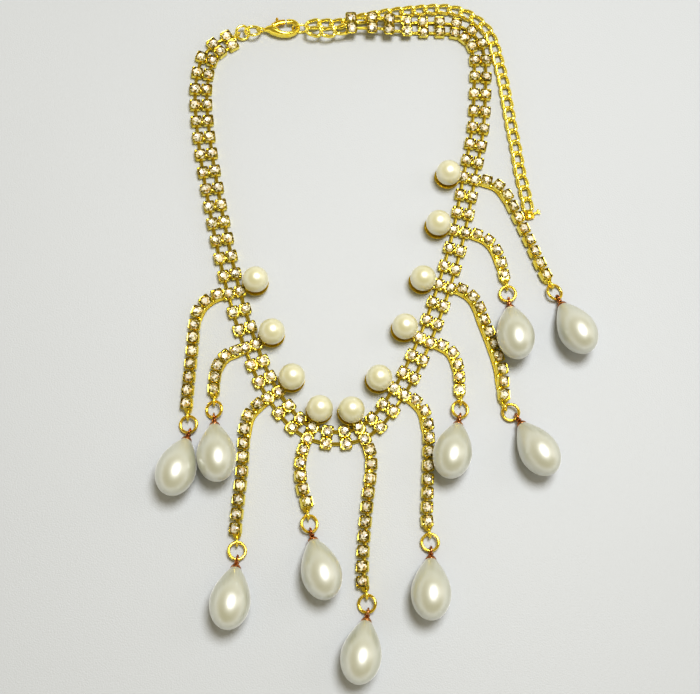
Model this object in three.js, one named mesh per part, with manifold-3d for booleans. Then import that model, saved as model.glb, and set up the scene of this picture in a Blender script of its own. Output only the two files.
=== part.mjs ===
// A layered choker necklace, lying flat: a two-row rhinestone collar, ten side strands that each
// carry a round pearl on the neck side and drip to a teardrop pearl, a lobster clasp and its
// extension chain. Millimetres, +Z up, the surface it lies on is z = 0, +Y points to the clasp.
import * as THREE from "three";
import { mergeVertices } from "three/addons/utils/BufferGeometryUtils.js";
import Module from "manifold-3d";

const wasm = await Module();
wasm.setup();

// ---- Driving dimensions -------------------------------------------------------------------------
const GAP = 0.3; // the clearance that touching pieces keep
const SHIFT = { x: 0.95, y: -0.3 }; // brings the middle of the whole necklace to the origin

const CUP = { width: 2.9, height: 2.2, rowPitch: 3.3 }; // one stone in its claw cup
const PAIRS = 60;
const COLLAR = { width: CUP.rowPitch + CUP.width, end: 2, steps: 66 };

const PEARL = { radius: 3.5, reach: 6.35, height: 4.3 }; // reach: collar centre line to pearl centre
const DISH = { foot: 2.4, radius: 3.5, height: 1.05, wall: 0.5 }; // the saucer under a round pearl
const BAR = { start: 1.25, width: 2.2, base: 0.1, height: 0.7, lap: 0.6, steps: 4 }; // saucer to first cup
const STRAND = { start: 3.55, steps: 12 }; // start: collar centre line to the strand's first cup edge

const CONNECTOR = { width: 2.1, nose: 1, base: 0.1, top: 1.8, lap: 1, shoulder: 0.2 }; // strand's end
const EYE = { reach: 3.4, hole: 0.75, wire: 0.25, height: 1.3 }; // reach: last cup to its eye
const RING = { radius: 2.15, wire: 0.35 }; // the jump ring of a drop
const CAP = { start: 0.75, neck: 0.7, end: 2.25, top: 0.55, flare: 1.35 }; // along the drop from its eye
const DROP = { start: 2.55, length: 16.2, radius: 5.1, tip: 0.22, widest: 0.57, tiltDegrees: 20 };
const DROP_SWELL = 1.75; // how late a teardrop swells from its tip

const LUG = { reach: 2.65, degrees: 38 }; // the eye at the collar's clasp end
const CLASP_RINGS = [
  { name: "clasp_ring_1", radius: 1.9, degrees: 29, roll: 28 },
  { name: "clasp_ring_2", radius: 2.3, degrees: 8, roll: -28 },
];
const RINGS_OVERLAP = 1.15; // how far one clasp ring reaches through the other
const LINK_HEIGHT = 1.5; // the height of the clasp's middle and of what is linked to it
const CLASP = { degrees: 3.5, thickness: 3, hookThickness: 0.9, leverThickness: 1 };
const PIVOT = { along: 3.6, across: 0.9, pin: 0.3, inset: 0.1, hole: 0.55, slot: 1.9 };

// The clasp's outlines, with its eye at the origin and its hook towards +X. After the start, each
// row is one curve: its control point, then the point where it ends.
const CLASP_BACK = {
  start: [1, 0.35],
  curves: [
    [[0.8, 0], [1, -0.35]],
    [[3.4, -2.6], [7, -2.75]],
    [[8.6, -2.7], [9.6, -1.7]],
    [[8.6, -1.2], [8, -1.2]],
    [[5.8, -1.5], [4.9, -0.3]],
    [[4.9, 0.5], [4.6, 1.4]],
    [[3.2, 2.1], [2.6, 1.6]],
    [[1.6, 0.9], [1, 0.35]],
  ],
};
const CLASP_HOOK = {
  start: [7.6, -2.6],
  curves: [
    [[10.2, -2.7], [11.3, -0.6]],
    [[11.5, 0], [11.2, 0.8]],
    [[10.6, 2.5], [7.9, 2.6]],
    [[7.6, 2.6], [7.5, 2.3]],
    [[7.5, 1.8], [7.8, 1.65]],
    [[9.6, 1.5], [10.2, 0.5]],
    [[10.5, 0], [10.3, -0.5]],
    [[9.4, -1.5], [7.6, -1.25]],
  ],
};
const CLASP_LEVER = {
  start: [2.85, 0.9],
  curves: [
    [[2.85, 0.15], [3.6, 0.15]],
    [[4.35, 0.15], [4.6, 0.8]],
    [[5.6, 1.25], [7.15, 1.35]],
    [[7.3, 1.9], [7.15, 2.5]],
    [[6.2, 2.65], [5.5, 2.5]],
    [[5.3, 2.8], [5.3, 3.5]],
    [[4.9, 3.8], [4.5, 3.5]],
    [[4.3, 2.6], [3.1, 1.7]],
    [[2.85, 1.4], [2.85, 0.9]],
  ],
};

const LINK = { length: 4.7, width: 3.2, wire: 0.35, rollDegrees: 64 }; // the link that the clasp holds
const FOLD = { x: -19.15, y: 87.3, length: 1.4, width: 3.4, top: 2.9, lap: 0.15 }; // joins run and tail
const CHAIN = { width: 3, height: 1.6, steps: 46, runSteps: 5 }; // the curb extension chain
const CHAIN_EDGE = 0.32; // the part of its height that a chain's top edges lose
const RUN_HEIGHT = CHAIN.height + GAP; // the chain's first run lies on its own tail
const END_TAB = { width: 2.2, length: 2.4, height: 1.2, gap: 0.45 }; // the folded tab at its free end
const END_STUB = { length: 2.6, radius: 0.4, degrees: 26, start: 0.6 }; // the wire held in that tab

const SIDES = { wire: 6, eye: 10, ring: 16, dish: 14, cap: 10, drop: 12, rod: 8 }; // of round shapes

// The collar's route, through the middle between its two rows. The 60 pairs of cups are counted from
// the clasp end. z is the height of the underside, because the last pairs lie on the chain's tail.
const COLLAR_ROUTE = [
  { pair: 1, x: -41.5, y: 83, z: 0 },
  { pair: 2, x: -45.2, y: 80.6, z: 0 },
  { pair: 3, x: -47.9, y: 77, z: 0 },
  { pair: 5, x: -49.5, y: 67.4, z: 0 },
  { pair: 8, x: -48.5, y: 52.5, z: 0 },
  { pair: 11, x: -46.1, y: 36.9, z: 0 },
  { pair: 14, x: -43.3, y: 21.9, z: 0 },
  { pair: 17, x: -39.9, y: 6.6, z: 0 },
  { pair: 20, x: -35.4, y: -8.4, z: 0 },
  { pair: 23, x: -29.5, y: -21.8, z: 0 },
  { pair: 26, x: -20, y: -32.1, z: 0 },
  { pair: 29, x: -6.3, y: -32.3, z: 0 },
  { pair: 32, x: 3.9, y: -21.1, z: 0 },
  { pair: 35, x: 11.4, y: -6.7, z: 0 },
  { pair: 38, x: 17.4, y: 8.7, z: 0 },
  { pair: 41, x: 22.4, y: 24.9, z: 0 },
  { pair: 44, x: 26, y: 40.9, z: 0 },
  { pair: 47, x: 29.4, y: 56.6, z: 0 },
  { pair: 50, x: 31, y: 72.9, z: 0 },
  { pair: 51, x: 31.2, y: 78.4, z: 0 },
  { pair: 52, x: 30.5, y: 83.4, z: 0 },
  { pair: 53, x: 28, y: 86.8, z: 0 },
  { pair: 54, x: 24.4, y: 88.6, z: 0 },
  { pair: 56, x: 14.8, y: 88.9, z: 0 },
  { pair: 57, x: 9.8, y: 88.7, z: 1 },
  { pair: 58, x: 4.6, y: 88.7, z: RUN_HEIGHT },
  { pair: 59, x: -0.4, y: 89, z: RUN_HEIGHT },
  { pair: 60, x: -6.5, y: 88.8, z: RUN_HEIGHT },
];

// The ten strands, counted from the clasp end. pair: the collar pair each one crosses. pearl: the
// direction from the collar to its round pearl. end: the direction of its folded end piece. ring and
// drop: the directions from eye to eye across the jump ring, and from there along the drop. route:
// from the first outer cup to the last one.
const STRANDS = [
  {
    pair: 17, pearl: 25.5, end: -92, ring: -84, ringRoll: 10, drop: -106,
    route: [
      [-44.4, 5.9], [-47.2, 4.2], [-49.3, 1.5], [-50.1, -2.1],
      [-50.6, -9.5], [-51.25, -17.4], [-51.7, -24.2],
    ],
  },
  {
    pair: 20, pearl: 29.5, end: -91, ring: -90, ringRoll: 25, drop: -86,
    route: [[-39.3, -9.8], [-42.1, -11.1], [-44, -13.7], [-44.7, -16.9], [-44.95, -20.2]],
  },
  {
    pair: 23, pearl: 40.5, end: -90, ring: -89, ringRoll: -8, drop: -99,
    route: [
      [-33.5, -24.6], [-35.8, -27.3], [-36.8, -30.7], [-37, -34.3],
      [-37.4, -41.7], [-38.2, -49.3], [-38.95, -57],
    ],
  },
  {
    pair: 26, pearl: 67, end: -79, ring: -80, ringRoll: -20, drop: -78,
    route: [[-22, -36.5], [-22.8, -39.7], [-22.9, -43.2], [-22.5, -46.8], [-21.5, -50.5]],
  },
  {
    pair: 29, pearl: 117, end: -81, ring: -88, ringRoll: 15, drop: -102,
    route: [
      [-4.2, -36.8], [-3.8, -40], [-4.1, -43.6], [-4.9, -49.2],
      [-5.6, -54.8], [-6.4, -62.6], [-6.8, -70.8],
    ],
  },
  {
    pair: 32, pearl: 151, end: -79, ring: -88, ringRoll: 8, drop: -95,
    route: [
      [8.1, -23.6], [10.2, -26.2], [11, -29.5], [11.2, -32.8],
      [10.8, -39.9], [10.25, -47.8], [9.8, -55.6],
    ],
  },
  {
    pair: 35, pearl: 153, end: -88, ring: -97, ringRoll: -12, drop: -106,
    route: [[16.1, -8.2], [18.6, -10.1], [19.9, -13.3], [20.3, -16.9], [20.2, -20.5]],
  },
  {
    pair: 38, pearl: 169, end: -86, ring: -41, ringRoll: 12, drop: -66.5,
    route: [
      [22.2, 7.7], [25, 5.6], [26.7, 2.5], [27.7, -1],
      [30, -8.2], [31.7, -15.3], [31.8, -22.1],
    ],
  },
  {
    pair: 41, pearl: 169, end: -81, ring: -86, ringRoll: 10, drop: -88,
    route: [[27.3, 24], [30.3, 22.4], [32.4, 19.5], [33.6, 15.9], [34.2, 12]],
  },
  {
    pair: 44, pearl: 177.5, end: -60, ring: -67, ringRoll: -18, drop: -71,
    route: [
      [30.9, 40.1], [34, 38.8], [36.2, 36], [37.6, 32.6],
      [40.4, 25.6], [43, 18.6], [45.5, 12],
    ],
  },
];

// The extension chain: its first run from the collar to the clasp, and its tail, which comes back
// beside that run, under the collar's end, and lies along the collar to its free end.
const RUN_ROUTE = [[-8.5, 86.6], [-10.5, 86], [-13, 85.5], [-16, 85.5], [-18.9, 85.9]];
const TAIL_ROUTE = [
  [-18.9, 88.7], [-16.5, 89.2], [-12.4, 89.3], [-9.5, 89.5], [-3.6, 91.2], [-0.5, 92], [4, 93],
  [8.5, 93.8], [13, 94.4], [17.5, 94.9], [22, 95], [26.5, 94.1], [30.4, 91.9], [33.8, 88.3], [35.5, 84],
  [36.5, 79], [37.6, 72.5], [38.4, 65], [39.2, 57.5], [40.1, 50], [40.8, 43], [41.9, 36], [42.4, 31.6],
];

// ---- Materials ----------------------------------------------------------------------------------
const LOOKS = {
  gold: { color: "#d9a93a", roughness: 0.25, metalness: 1 },
  rose: { color: "#b9744a", roughness: 0.28, metalness: 1 },
  pearl: { color: "#ece7da", roughness: 0.22, metalness: 0 },
};

// ---- Small geometry helpers ---------------------------------------------------------------------
const radians = THREE.MathUtils.degToRad;

function direction(degrees) {
  return new THREE.Vector2(Math.cos(radians(degrees)), Math.sin(radians(degrees)));
}

// A point that lies a distance away from another one in a given direction.
function away(point, degrees, distance) {
  return point.clone().addScaledVector(direction(degrees), distance);
}

// Turns a closed geometry into a solid that can be joined and cut.
function solidOf(geometry) {
  const bare = new THREE.BufferGeometry();
  bare.setAttribute("position", geometry.getAttribute("position"));
  bare.setIndex(geometry.getIndex());
  const merged = mergeVertices(bare, 1e-4);
  const index = merged.getIndex().array;
  const corners = [];
  for (let i = 0; i < index.length; i += 3) {
    const [a, b, c] = [index[i], index[i + 1], index[i + 2]];
    if (a !== b && b !== c && c !== a) corners.push(a, b, c);
  }
  return new wasm.Manifold(
    new wasm.Mesh({
      numProp: 3,
      vertProperties: merged.getAttribute("position").array,
      triVerts: new Uint32Array(corners),
    }),
  );
}

function geometryOf(solid) {
  const mesh = solid.getMesh();
  const geometry = new THREE.BufferGeometry();
  geometry.setAttribute("position", new THREE.BufferAttribute(mesh.vertProperties, 3));
  geometry.setIndex(new THREE.BufferAttribute(mesh.triVerts, 1));
  geometry.computeVertexNormals();
  return geometry;
}

function joined(...geometries) {
  return geometryOf(geometries.map(solidOf).reduce((all, solid) => all.add(solid)));
}

function cut(geometry, ...cutters) {
  const solids = cutters.map(solidOf);
  return geometryOf(solids.reduce((left, cutter) => left.subtract(cutter), solidOf(geometry)));
}

function common(geometry, other) {
  return geometryOf(solidOf(geometry).intersect(solidOf(other)));
}

// A smooth level curve through the points of a route.
function routeCurve(points) {
  const level = points.map(({ x, y }) => new THREE.Vector3(x, y, 0));
  return new THREE.CatmullRomCurve3(level, false, "centripetal");
}

// A stretch of a curve between two distances along it.
class Stretch extends THREE.Curve {
  constructor(base, from, to) {
    super();
    this.base = base;
    this.from = from;
    this.to = to;
  }

  getPoint(t, target = new THREE.Vector3()) {
    const distance = THREE.MathUtils.lerp(this.from, this.to, t);
    return this.base.getPointAt(distance / this.base.getLength(), target);
  }
}

// The collar's middle line: a smooth curve through the rows of its route, even in pairs.
class CollarLine extends THREE.Curve {
  getPoint(t, target = new THREE.Vector3()) {
    return collarPoint(THREE.MathUtils.lerp(1, PAIRS, t), target);
  }
}

// The slope of the collar's route at one of its rows, in millimetres for each pair.
function routeSlope(row, axis) {
  const before = COLLAR_ROUTE[Math.max(row - 1, 0)];
  const after = COLLAR_ROUTE[Math.min(row + 1, COLLAR_ROUTE.length - 1)];
  return (after[axis] - before[axis]) / (after.pair - before.pair);
}

function collarPoint(pair, target = new THREE.Vector3()) {
  let row = 0;
  while (row < COLLAR_ROUTE.length - 2 && COLLAR_ROUTE[row + 1].pair < pair) row += 1;
  const [start, stop] = [COLLAR_ROUTE[row], COLLAR_ROUTE[row + 1]];
  const span = stop.pair - start.pair;
  const t = (pair - start.pair) / span;
  const along = (axis) => {
    const rise = routeSlope(row, axis) * span;
    const run = routeSlope(row + 1, axis) * span;
    const cubic = 2 * (start[axis] - stop[axis]) + rise + run;
    const square = 3 * (stop[axis] - start[axis]) - 2 * rise - run;
    return ((cubic * t + square) * t + rise) * t + start[axis];
  };
  return target.set(along("x"), along("y"), Math.max(0, along("z")));
}

// The section of a chain lying flat, with its top edges taken off. Along a level curve, the section's
// x runs down and its y to the left of the way the curve goes.
function chainSection(width, height, base = 0) {
  const side = width / 2;
  const edge = height * CHAIN_EDGE;
  return new THREE.Shape([
    new THREE.Vector2(-base, -side),
    new THREE.Vector2(-base, side),
    new THREE.Vector2(edge - height - base, side),
    new THREE.Vector2(-height - base, side - edge),
    new THREE.Vector2(-height - base, edge - side),
    new THREE.Vector2(edge - height - base, -side),
  ]);
}

function swept(curve, section, steps) {
  return new THREE.ExtrudeGeometry(section, { steps, bevelEnabled: false, extrudePath: curve });
}

// A flat block of a given outline between two heights.
function slab(outline, low, high) {
  const options = { depth: high - low, bevelEnabled: false, curveSegments: 6 };
  return new THREE.ExtrudeGeometry(outline, options).translate(0, 0, low);
}

function box(length, width, low, high) {
  return new THREE.BoxGeometry(length, width, high - low).translate(0, 0, (low + high) / 2);
}

// A body turned about +X, from a table of how far along and how far out.
function turned(rows, segments) {
  const profile = rows.map(([along, out]) => new THREE.Vector2(out, along));
  return new THREE.LatheGeometry(profile, segments).rotateZ(-radians(90));
}

// A small upright eye around the origin, with its hole open to both sides.
function uprightEye() {
  return new THREE.TorusGeometry(EYE.hole + EYE.wire, EYE.wire, SIDES.wire, SIDES.eye).rotateX(radians(90));
}

// Moves a piece of a larger body to its place in it.
function place(geometry, point, degrees, z = 0) {
  return geometry.rotateZ(radians(degrees)).translate(point.x, point.y, z);
}

function part(name, geometry, look) {
  const node = new THREE.Mesh(geometry, new THREE.MeshStandardMaterial(LOOKS[look]));
  node.name = name;
  return node;
}

// Lays a mesh or group on the necklace: heading is where its +X points seen from above, pitch is
// how much its +X end rises, and roll turns it about its own X axis.
function lay(object, point, height, { heading = 0, pitch = 0, roll = 0 } = {}) {
  object.position.set(point.x, point.y, height);
  object.rotation.set(radians(roll), -radians(pitch), radians(heading), "ZYX");
  return object;
}

// ---- Strands ------------------------------------------------------------------------------------
// Where the pieces of one strand lie: its line from the saucer to the last cup, then eye by eye.
function strandLayout(row) {
  const { x, y } = collarPoint(row.pair);
  const crossing = new THREE.Vector2(x, y);
  const dish = away(crossing, row.pearl, PEARL.reach);
  const outer = row.route.map(([across, up]) => new THREE.Vector2(across, up));
  const end = away(outer[outer.length - 1], row.end, CUP.width / 2);
  const points = [dish, dish.clone().lerp(crossing, 0.5), crossing, ...outer, end];
  const line = routeCurve(points);
  const strandEye = away(end, row.end, EYE.reach - CUP.width / 2);
  const dropEye = away(strandEye, row.ring, 2 * RING.radius);
  return { dish, line, end, strandEye, dropEye };
}

// The saucer under a round pearl, open at the top.
function dishGeometry() {
  const { foot, radius, height, wall } = DISH;
  const profile = [
    [0, 0],
    [0, foot],
    [height - wall / 2, radius],
    [height, radius],
    [height, radius - wall],
    [wall, foot - wall / 2],
    [wall, 0],
  ];
  return turned(profile, SIDES.dish).rotateY(-radians(90));
}

// The cast bar that joins the saucer to the strand's first cups, under the collar.
function barGeometry(line, grow = 0) {
  const section = chainSection(BAR.width + 2 * grow, BAR.height + 2 * grow, BAR.base - grow);
  return swept(new Stretch(line, BAR.start, PEARL.reach + STRAND.start + BAR.lap), section, BAR.steps);
}

// The folded end piece, from inside the strand's last cup to its eye, narrower at the eye.
function connectorGeometry() {
  const { width, nose, base, top, lap, shoulder } = CONNECTOR;
  const reach = EYE.reach - EYE.hole - EYE.wire - CUP.width / 2;
  const corners = [
    [-lap, -width / 2],
    [shoulder, -width / 2],
    [reach, -nose / 2],
    [reach, nose / 2],
    [shoulder, width / 2],
    [-lap, width / 2],
  ];
  return slab(new THREE.Shape(corners.map(([x, y]) => new THREE.Vector2(x, y))), base, top);
}

function strandGeometry(row) {
  const { dish, line, end, strandEye } = strandLayout(row);
  const cups = new Stretch(line, PEARL.reach + STRAND.start, line.getLength());
  return joined(
    place(dishGeometry(), dish, 0),
    barGeometry(line),
    swept(cups, chainSection(CUP.width, CUP.height), STRAND.steps),
    place(connectorGeometry(), end, row.end),
    place(uprightEye(), strandEye, (row.end + row.ring) / 2, EYE.height),
  );
}

// The cap of a drop, along +X from the drop's eye.
function capGeometry() {
  const { start, neck, end, top, flare } = CAP;
  const bell = [
    [start, 0],
    [start, top],
    [start + neck, top],
    [end, flare],
    [end, 0],
  ];
  return joined(turned(bell, SIDES.cap), uprightEye());
}

// The radius of a teardrop pearl at a part of its length: a swelling flank, then a round bottom.
function dropRadius(along) {
  const { radius, tip, widest } = DROP;
  if (along < widest) return radius * (1 - (1 - tip) * (1 - along / widest) ** DROP_SWELL);
  return radius * Math.sqrt(Math.max(0, 1 - ((along - widest) / (1 - widest)) ** 2));
}

function dropGeometry() {
  const stations = [0, 0.1, 0.24, 0.4, 0.57, 0.74, 0.88, 0.97];
  const flank = stations.map((along) => [DROP.start + along * DROP.length, dropRadius(along)]);
  return turned([[DROP.start, 0], ...flank, [DROP.start + DROP.length, 0]], SIDES.drop);
}

// One strand with its pearl, jump ring and drop. The drop rests on its flank, its eye held low.
function strandGroup(row, number) {
  const { dish, strandEye, dropEye } = strandLayout(row);
  const pearl = part(`pearl_${number}`, new THREE.SphereGeometry(PEARL.radius, 12, 8), "pearl");
  const ringGeometry = new THREE.TorusGeometry(RING.radius, RING.wire, SIDES.wire, SIDES.ring);
  const ring = part(`drop_ring_${number}`, ringGeometry, "gold");
  const ringCentre = away(strandEye, row.ring, RING.radius);
  const drop = new THREE.Group().add(
    part(`drop_cap_${number}`, capGeometry(), "rose"),
    part(`drop_${number}`, dropGeometry(), "pearl"),
  );
  return new THREE.Group().add(
    part(`strand_${number}`, strandGeometry(row), "gold"),
    lay(pearl, dish, PEARL.height, { roll: 90 }),
    lay(ring, ringCentre, EYE.height, { heading: row.ring, roll: row.ringRoll }),
    lay(drop, dropEye, EYE.height, { heading: row.drop, pitch: DROP.tiltDegrees }),
  );
}

// ---- Collar -------------------------------------------------------------------------------------
// What a strand keeps clear of the collar that lies across it.
function strandClearance(row) {
  const { dish, line } = strandLayout(row);
  const { radius, height } = DISH;
  const room = [
    [-GAP, 0],
    [-GAP, radius + GAP],
    [height + GAP, radius + GAP],
    [height + GAP, 0],
  ];
  return [place(turned(room, SIDES.dish).rotateY(-radians(90)), dish, 0), barGeometry(line, GAP)];
}

function collarGeometry() {
  const first = new THREE.Vector2(COLLAR_ROUTE[0].x, COLLAR_ROUTE[0].y);
  const collar = joined(
    swept(new CollarLine(), chainSection(COLLAR.width, CUP.height), COLLAR.steps),
    place(box(2 * COLLAR.end, COLLAR.width, 0, CUP.height), first, LUG.degrees),
    place(uprightEye(), away(first, LUG.degrees, LUG.reach), LUG.degrees, LINK_HEIGHT),
  );
  return cut(collar, ...STRANDS.flatMap(strandClearance));
}

// ---- Clasp --------------------------------------------------------------------------------------
// The middles of the clasp rings, end to end from the collar's lug, and the clasp's eye after them.
function claspLayout() {
  const first = new THREE.Vector2(COLLAR_ROUTE[0].x, COLLAR_ROUTE[0].y);
  const [ringA, ringB] = CLASP_RINGS;
  const lug = away(first, LUG.degrees, LUG.reach);
  const centreA = away(lug, ringA.degrees, ringA.radius);
  const through = away(lug, ringA.degrees, 2 * ringA.radius - RINGS_OVERLAP);
  const centreB = away(through, ringB.degrees, ringB.radius);
  const eye = away(through, ringB.degrees, 2 * ringB.radius);
  return { centres: [centreA, centreB], eye };
}

function outline({ start, curves }) {
  const shape = new THREE.Shape().moveTo(...start);
  for (const [control, end] of curves) shape.quadraticCurveTo(...control, ...end);
  return shape;
}

function claspBody() {
  const half = CLASP.thickness / 2;
  const slotHalf = CLASP.leverThickness / 2 + GAP;
  const slot = new THREE.Shape().absarc(PIVOT.along, PIVOT.across, PIVOT.slot, 0, 2 * Math.PI);
  const pin = new THREE.Shape().absarc(PIVOT.along, PIVOT.across, PIVOT.pin, 0, 2 * Math.PI);
  return joined(
    cut(slab(outline(CLASP_BACK), -half, half), slab(slot, -slotHalf, slotHalf)),
    slab(pin, PIVOT.inset - half, half - PIVOT.inset),
    slab(outline(CLASP_HOOK), -CLASP.hookThickness / 2, CLASP.hookThickness / 2),
    uprightEye(),
  );
}

function claspLever() {
  const lever = outline(CLASP_LEVER);
  const bore = new THREE.Path().absarc(PIVOT.along, PIVOT.across, PIVOT.hole, 0, 2 * Math.PI);
  lever.holes.push(bore);
  return slab(lever, -CLASP.leverThickness / 2, CLASP.leverThickness / 2);
}

function claspGroup() {
  const { centres, eye } = claspLayout();
  const rings = CLASP_RINGS.map(({ name, radius, degrees, roll }, index) => {
    const geometry = new THREE.TorusGeometry(radius, RING.wire, SIDES.wire, SIDES.ring);
    const ring = part(name, geometry, "gold");
    return lay(ring, centres[index], LINK_HEIGHT, { heading: degrees, roll });
  });
  const clasp = new THREE.Group().add(
    part("clasp_body", claspBody(), "gold"),
    part("clasp_lever", claspLever(), "gold"),
  );
  return new THREE.Group().add(...rings, lay(clasp, eye, LINK_HEIGHT, { heading: CLASP.degrees }));
}

// ---- Extension chain ----------------------------------------------------------------------------
// The link that the clasp holds: a long wire ring, tipped up so that the hook goes through it.
function heldLink() {
  const bend = LINK.width / 2 - LINK.wire;
  const side = LINK.length - LINK.width;
  const end = new THREE.TorusGeometry(bend, LINK.wire, SIDES.wire, SIDES.ring);
  const wire = new THREE.CylinderGeometry(LINK.wire, LINK.wire, side, SIDES.wire).rotateZ(radians(90));
  const rightHalf = box(LINK.width, 2 * LINK.width, -LINK.width, LINK.width);
  const keepRight = rightHalf.translate(LINK.width / 2, 0, 0);
  const keepLeft = keepRight.clone().rotateZ(Math.PI);
  const link = joined(
    common(end, keepRight).translate(side / 2, 0, 0),
    common(end, keepLeft).translate(-side / 2, 0, 0),
    wire.clone().translate(0, bend, 0),
    wire.translate(0, -bend, 0),
  );
  return link.rotateX(radians(LINK.rollDegrees));
}

function chainRun(route, height, steps) {
  const line = routeCurve(route.map(([x, y]) => new THREE.Vector2(x, y)));
  return swept(line, chainSection(CHAIN.width, CHAIN.height, height), steps);
}

function extensionChain() {
  return joined(
    heldLink().translate(FOLD.x - LINK.length / 2 + FOLD.lap, FOLD.y, LINK_HEIGHT),
    box(FOLD.length, FOLD.width, 0, FOLD.top).translate(FOLD.x + FOLD.length / 2, FOLD.y, 0),
    chainRun(RUN_ROUTE, RUN_HEIGHT, CHAIN.runSteps),
    chainRun(TAIL_ROUTE, 0, CHAIN.steps),
  );
}

// The folded tab at the free end of the extension chain, with the stub of wire that it holds. It
// is drawn from the chain's end towards -Y.
function extensionEnd() {
  const tab = box(END_TAB.width, END_TAB.length, 0, END_TAB.height);
  const stub = new THREE.CylinderGeometry(END_STUB.radius, END_STUB.radius, END_STUB.length, SIDES.rod);
  stub.rotateZ(radians(END_STUB.degrees - 90));
  stub.translate(END_STUB.start + END_STUB.length / 2, 0, END_TAB.height / 2);
  return joined(tab, stub);
}

function extensionGroup() {
  const [x, y] = TAIL_ROUTE[TAIL_ROUTE.length - 1];
  const tabCentre = new THREE.Vector2(x, y - END_TAB.gap - END_TAB.length / 2);
  return new THREE.Group().add(
    part("extension_chain", extensionChain(), "gold"),
    lay(part("extension_end", extensionEnd(), "gold"), tabCentre, 0),
  );
}

// ---- Assembly -----------------------------------------------------------------------------------
const layout = new THREE.Group();
layout.position.set(SHIFT.x, SHIFT.y, 0);
layout.add(part("collar", collarGeometry(), "gold"));
STRANDS.forEach((row, index) => layout.add(strandGroup(row, index + 1)));
layout.add(claspGroup(), extensionGroup());

const necklace = new THREE.Group();
necklace.add(layout);

export default necklace;
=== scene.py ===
"""The looks of a layered choker necklace that lies face up on a pale surface.

Shapes are written in millimetres and turned into metres when a mesh is made. The lights, the floor
and the waves and bumps of materials are in metres. Angles are in degrees.
"""

import math
import random

import bpy
import numpy as np
from mathutils import Matrix, Vector


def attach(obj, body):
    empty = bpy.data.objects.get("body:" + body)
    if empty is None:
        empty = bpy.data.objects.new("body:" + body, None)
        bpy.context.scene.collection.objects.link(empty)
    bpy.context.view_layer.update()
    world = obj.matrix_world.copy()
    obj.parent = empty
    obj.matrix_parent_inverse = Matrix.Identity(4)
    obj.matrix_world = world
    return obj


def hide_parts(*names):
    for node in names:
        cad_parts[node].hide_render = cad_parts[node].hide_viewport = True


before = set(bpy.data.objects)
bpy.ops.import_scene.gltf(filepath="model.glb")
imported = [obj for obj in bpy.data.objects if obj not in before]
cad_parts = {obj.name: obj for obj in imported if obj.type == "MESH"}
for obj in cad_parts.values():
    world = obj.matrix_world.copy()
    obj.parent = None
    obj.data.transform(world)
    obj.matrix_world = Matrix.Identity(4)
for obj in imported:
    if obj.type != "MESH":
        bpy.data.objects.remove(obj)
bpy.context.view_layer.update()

MM = 0.001
SHIFT = Vector((0.95, -0.3, 0.0))  # from the routes' own origin to the middle of the necklace
BODY = "necklace"

# ---- Sizes ---------------------------------------------------------------------------------------
# They follow the CAD model, but cups, wires, saucers, the drops' tips and the chain's links are a
# little fuller.
CUP = {"width": 2.9, "row_pitch": 3.3, "wall_top": 1.75}
FLARE = 1.07  # how much wider a cup is than that width
WIRE_LINK = {"width": 1.0, "low": 0.15, "high": 1.05}  # between two cups of a row
SOLDER = {"width": 2.2, "low": 0.1, "high": 0.95}  # between the two cups of a pair
SOLDER_REACH = 0.4  # how far it goes from the collar's middle line, in row pitches
PAIRS = 60
LAST_PAIRS = {"after": 55, "over": 3, "lean": 24.0}  # they rest on the chain's tail and tip over
PEARL = {"radius": 3.5, "reach": 6.35, "height": 4.3}  # reach: collar's middle line to its centre
PEARL_POSE = {"turn_each": 17.0, "pitch": 20, "roll": 70}  # lays the poles of the mesh to the side
SAUCER_RADIUS = 3.55
EYE = {"reach": 3.4, "radius": 1.0, "wire": 0.3, "height": 1.3}  # reach: last cup to its eye
RING = {"radius": 2.15, "wire": 0.39}
DROP = {"start": 2.4, "length": 16.35, "radius": 5.1, "tip": 0.22, "widest": 0.57, "tilt": 20.0}
DROP_SWELL = 1.75  # how late a drop swells from its tip
LUG = {"reach": 2.65, "degrees": 38.0}  # the eye at the collar's clasp end
LUG_BAR = {"width": 2.6, "low": 0.2, "high": 1.6}
CLASP_RINGS = [
    {"name": "clasp_ring_1", "radius": 1.9, "degrees": 29.0, "roll": 28.0},
    {"name": "clasp_ring_2", "radius": 2.3, "degrees": 8.0, "roll": -28.0},
]
RINGS_OVERLAP = 1.15  # how far one clasp ring reaches through the other
LINK_HEIGHT = 1.5  # the height of the clasp's middle and of what is linked to it
CLASP_DEGREES = 3.5
CURB = {"length": 5.1, "width": 3.65, "wire": 0.5, "pitch": 3.6, "twist": 34.0, "height": 0.93}
HELD_LINK = {"length": 4.7, "width": 3.2, "wire": 0.35, "roll": 64.0}
HELD_LINK_MIDDLE = (-21.35, 87.3)
RUN_HEIGHT = 1.9  # the chain's first run lies on its own tail

# The cast bar of a strand. start: from the saucer's middle. cups: how many outer cups it goes along.
# aside: how far it lies to the inner side of the bend out there. narrower: what half_width loses.
# fade: the length over which it gets slighter, down to tip_width and tip_height of the whole.
CASTING = {
    "start": 1.5, "cups": 3.2, "aside": 0.7, "height": 0.62, "half_width": 1.2, "narrower": 0.15,
    "half_height": 0.6, "fade": 4.0, "tip_width": 0.45, "tip_height": 0.6, "steps": 40,
}

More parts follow.
